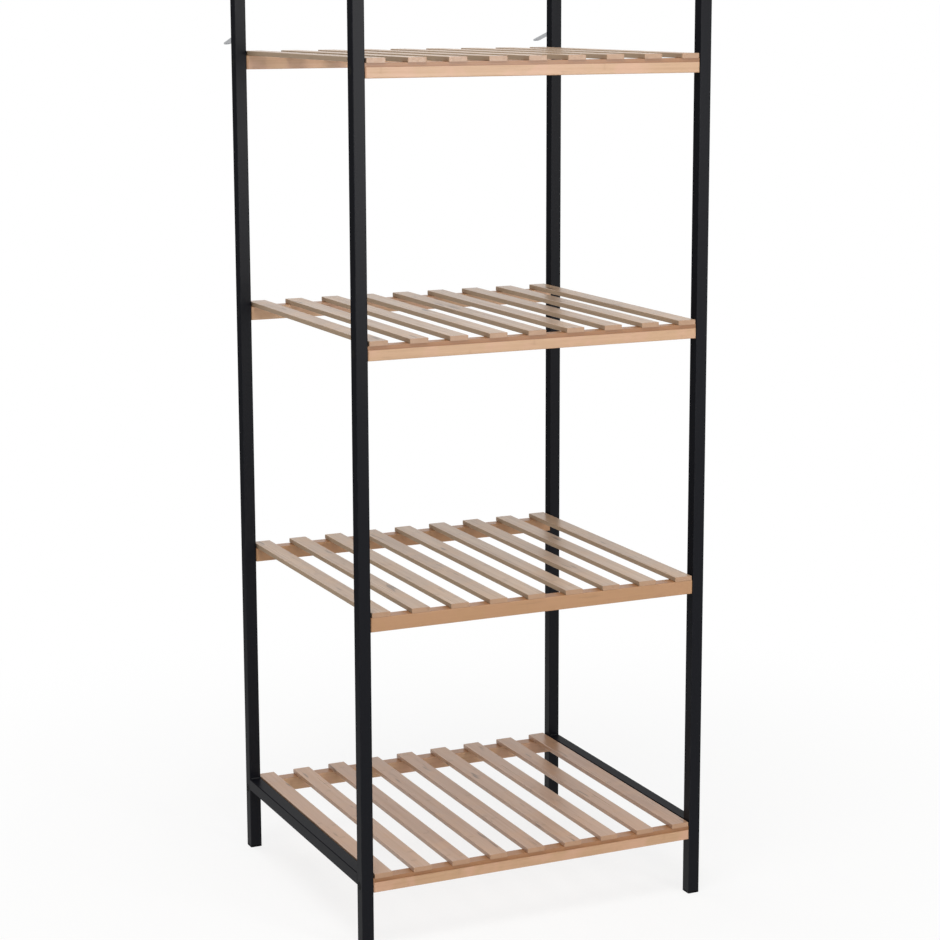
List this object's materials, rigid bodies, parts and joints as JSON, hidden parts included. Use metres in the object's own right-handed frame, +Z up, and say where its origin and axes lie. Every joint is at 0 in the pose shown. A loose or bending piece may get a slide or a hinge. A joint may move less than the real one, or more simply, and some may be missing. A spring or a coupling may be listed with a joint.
{
  "type": "slatted shelving unit",
  "caption": "Free-standing open shelving unit with slatted bamboo shelves bolted between two side frames of black square steel tube, with wall ties at the back.",
  "frame": {"origin": "on the floor at the centre of the four feet", "axes": "+X from left to right as seen from the front, +Y from the front to the back, +Z up"},
  "size_m": [0.4, 0.3943, 1],
  "materials": {
    "frame_steel": "black satin powder coat",
    "bamboo_rail": "clear matt lacquer",
    "bamboo_slat": "clear matt lacquer",
    "tie_steel": "zinc plated",
    "bolt_steel": "zinc plated",
    "insert_brass": "turned",
    "plug_plastic": "moulded black plastic"
  },
  "bodies": {
    "root": {"post_front_left": "frame_steel", "post_front_right": "frame_steel", "post_rear_left": "frame_steel", "post_rear_right": "frame_steel", "bottom_rail_left": "frame_steel", "bottom_rail_right": "frame_steel", "top_rail_left": "frame_steel", "top_rail_right": "frame_steel", "shelf_1_front_rail": "bamboo_rail", "shelf_1_back_rail": "bamboo_rail", "shelf_2_front_rail": "bamboo_rail", "shelf_2_back_rail": "bamboo_rail", "shelf_3_front_rail": "bamboo_rail", "shelf_3_back_rail": "bamboo_rail", "shelf_4_front_rail": "bamboo_rail", "shelf_4_back_rail": "bamboo_rail", "shelf_1_slat_1": "bamboo_slat", "shelf_1_slat_2": "bamboo_slat", "shelf_1_slat_3": "bamboo_slat", "shelf_1_slat_4": "bamboo_slat", "shelf_1_slat_5": "bamboo_slat", "shelf_1_slat_6": "bamboo_slat", "shelf_1_slat_7": "bamboo_slat", "shelf_1_slat_8": "bamboo_slat", "shelf_1_slat_9": "bamboo_slat", "shelf_2_slat_1": "bamboo_slat", "shelf_2_slat_2": "bamboo_slat", "shelf_2_slat_3": "bamboo_slat", "shelf_2_slat_4": "bamboo_slat", "shelf_2_slat_5": "bamboo_slat", "shelf_2_slat_6": "bamboo_slat", "shelf_2_slat_7": "bamboo_slat", "shelf_2_slat_8": "bamboo_slat", "shelf_2_slat_9": "bamboo_slat", "shelf_3_slat_1": "bamboo_slat", "shelf_3_slat_2": "bamboo_slat", "shelf_3_slat_3": "bamboo_slat", "shelf_3_slat_4": "bamboo_slat", "shelf_3_slat_5": "bamboo_slat", "shelf_3_slat_6": "bamboo_slat", "shelf_3_slat_7": "bamboo_slat", "shelf_3_slat_8": "bamboo_slat", "shelf_3_slat_9": "bamboo_slat", "shelf_4_slat_1": "bamboo_slat", "shelf_4_slat_2": "bamboo_slat", "shelf_4_slat_3": "bamboo_slat", "shelf_4_slat_4": "bamboo_slat", "shelf_4_slat_5": "bamboo_slat", "shelf_4_slat_6": "bamboo_slat", "shelf_4_slat_7": "bamboo_slat", "shelf_4_slat_8": "bamboo_slat", "shelf_4_slat_9": "bamboo_slat", "foot_plugs": "plug_plastic", "shelf_bolts": "bolt_steel", "rail_inserts": "insert_brass", "hole_plugs": "plug_plastic", "slat_screws": "bolt_steel", "wall_tie_left": "tie_steel", "wall_tie_right": "tie_steel", "wall_tie_screws": "bolt_steel"}
  },
  "joints": []
}
